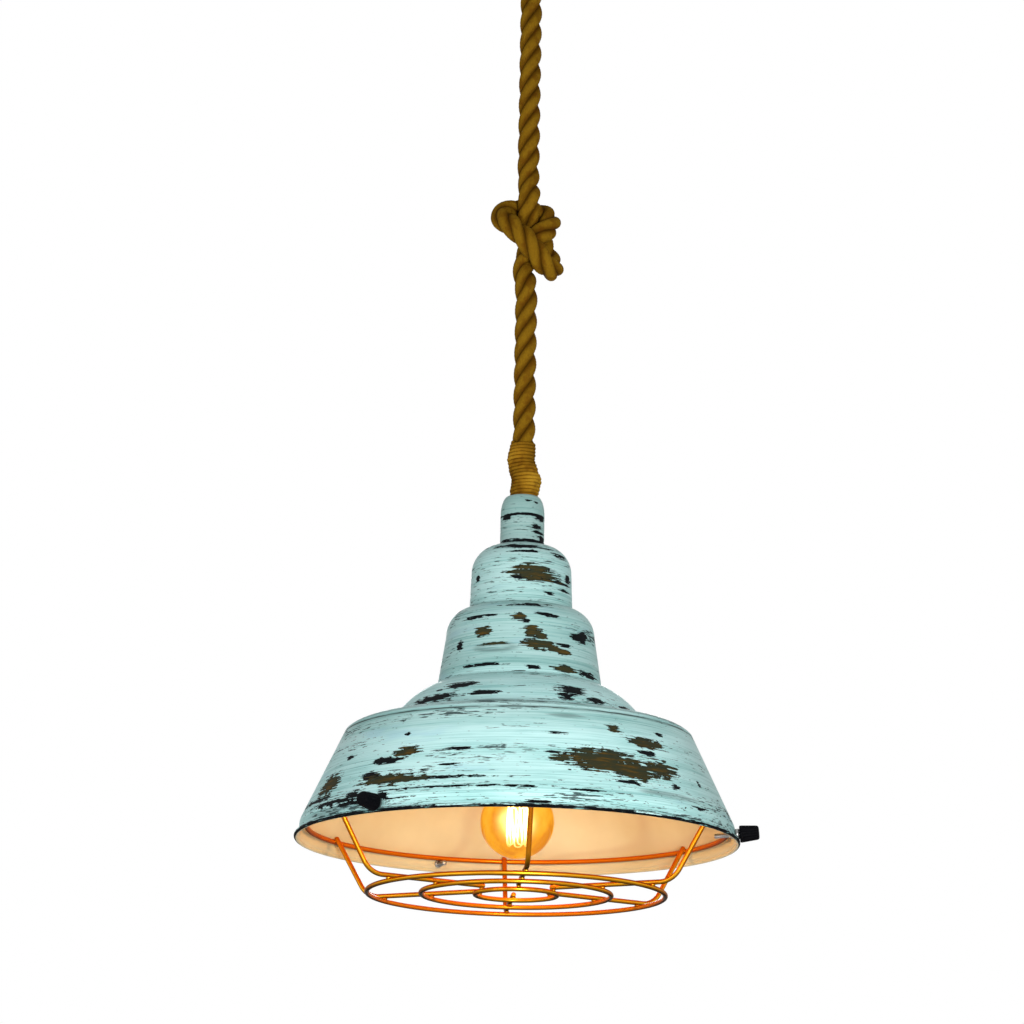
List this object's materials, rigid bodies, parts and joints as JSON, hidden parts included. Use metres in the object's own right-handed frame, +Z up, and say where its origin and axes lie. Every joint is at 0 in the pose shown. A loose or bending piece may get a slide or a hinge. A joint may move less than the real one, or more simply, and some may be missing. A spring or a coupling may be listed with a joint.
{
  "type": "pendant lamp",
  "caption": "Pendant lamp with a stepped metal shade, hung on a knotted rope, with a globe bulb behind a wire guard held by thumb screws.",
  "frame": {"origin": "middle of the ceiling bracket's top face, on the ceiling", "axes": "+Z up out of the ceiling face, along the rope; -Y towards the viewer; +X to the right"},
  "size_m": [0.3725, 0.3661, 0.8527],
  "materials": {
    "worn_paint": "pale turquoise paint, brushed and scratched through to dark primer and bare brown metal, cream inside",
    "guard_wire": "brass-plated round wire, semi-gloss",
    "knob": "black ribbed plastic",
    "lampholder": "black phenolic",
    "contacts": "plain brass",
    "bulb_cap": "bright threaded cap",
    "amber_glass": "clear amber glass, lit from inside",
    "filament": "glowing carbon filament",
    "stem_glass": "clear glass stem",
    "ceramic": "glazed white ceramic",
    "twine": "tight turns of jute twine",
    "rope": "three-strand laid jute rope",
    "steel": "zinc-plated steel"
  },
  "bodies": {
    "root": {"ceiling_bracket": "steel", "hanger_stud": "steel", "stud_locknut": "steel", "rope_socket": "steel", "rope_end": "rope", "canopy": "worn_paint", "canopy_screw_1": "contacts", "canopy_screw_2": "contacts", "terminal_block": "ceramic"},
    "rope_top": {"rope_top": "rope"},
    "lamp": {"rope_upper": "rope", "rope_knot": "rope", "rope_lower": "rope", "neck_whipping": "twine", "neck_cup": "worn_paint", "cup_nut": "steel", "rope_cup": "steel", "drop_tube": "steel", "inner_washer": "steel", "inner_nut": "steel", "shade": "worn_paint", "holder_cap": "lampholder", "holder_shell": "lampholder", "thread_shell": "contacts", "contact_block": "ceramic", "centre_contact": "contacts", "side_contact": "contacts", "guard_top_ring": "guard_wire", "guard_outer_ring": "guard_wire", "guard_middle_ring": "guard_wire", "guard_inner_ring": "guard_wire", "guard_wire_1": "guard_wire", "guard_wire_2": "guard_wire", "guard_wire_3": "guard_wire", "guard_wire_4": "guard_wire", "guard_wire_5": "guard_wire", "guard_wire_6": "guard_wire", "screw_bush_1": "steel", "screw_bush_2": "steel", "screw_bush_3": "steel"},
    "bulb_cap": {"bulb_cap": "bulb_cap"},
    "bulb": {"bulb_glass": "amber_glass", "bulb_stem": "stem_glass", "filament": "filament"},
    "screw_1": {"thumb_screw_shank_1": "steel"},
    "knob_1": {"thumb_screw_knob_1": "knob"},
    "screw_2": {"thumb_screw_shank_2": "steel"},
    "knob_2": {"thumb_screw_knob_2": "knob"},
    "screw_3": {"thumb_screw_shank_3": "steel"},
    "knob_3": {"thumb_screw_knob_3": "knob"}
  },
  "joints": [
    {"name": "sway_front_back", "type": "hinge", "parent": "root", "child": "rope_top", "pos_m": [0, 0, -0.0538], "axis": [1, 0, 0], "range_deg": [-12, 12]},
    {"name": "sway_side", "type": "hinge", "parent": "rope_top", "child": "lamp", "pos_m": [0, 0, -0.0991], "axis": [0, 1, 0], "range_deg": [-12, 12]},
    {"name": "bulb_travel", "type": "slide", "parent": "lamp", "child": "bulb_cap", "axis": [0, 0, -1], "range_m": [0, 0.0182]},
    {"name": "bulb_turn", "type": "hinge", "parent": "bulb_cap", "child": "bulb", "pos_m": [0, 0, -0.76], "axis": [0, 0, -1], "range_deg": [0, 1810]},
    {"name": "screw_1_travel", "type": "slide", "parent": "lamp", "child": "screw_1", "axis": [0.9779, -0.1901, 0.0872], "range_m": [0, 0.014]},
    {"name": "screw_1_turn", "type": "hinge", "parent": "screw_1", "child": "knob_1", "pos_m": [0.18287, -0.03555, -0.80199], "axis": [0.9779, -0.1901, 0.0872], "range_deg": [0, 7210]},
    {"name": "screw_2_travel", "type": "slide", "parent": "lamp", "child": "screw_2", "axis": [-0.3243, 0.9419, 0.0872], "range_m": [0, 0.014]},
    {"name": "screw_2_turn", "type": "hinge", "parent": "screw_2", "child": "knob_2", "pos_m": [-0.06065, 0.17614, -0.80199], "axis": [-0.3243, 0.9419, 0.0872], "range_deg": [0, 7210]},
    {"name": "screw_3_travel", "type": "slide", "parent": "lamp", "child": "screw_3", "axis": [-0.6536, -0.7518, 0.0872], "range_m": [0, 0.014]},
    {"name": "screw_3_turn", "type": "hinge", "parent": "screw_3", "child": "knob_3", "pos_m": [-0.12222, -0.14059, -0.80199], "axis": [-0.6536, -0.7518, 0.0872], "range_deg": [0, 7210]}
  ],
  "couplings": [
    {"joint": "bulb_turn", "follows": "bulb_travel", "rad_per_m": 1731.4},
    {"joint": "screw_1_turn", "follows": "screw_1_travel", "rad_per_m": 8976},
    {"joint": "screw_2_turn", "follows": "screw_2_travel", "rad_per_m": 8976},
    {"joint": "screw_3_turn", "follows": "screw_3_travel", "rad_per_m": 8976}
  ]
}
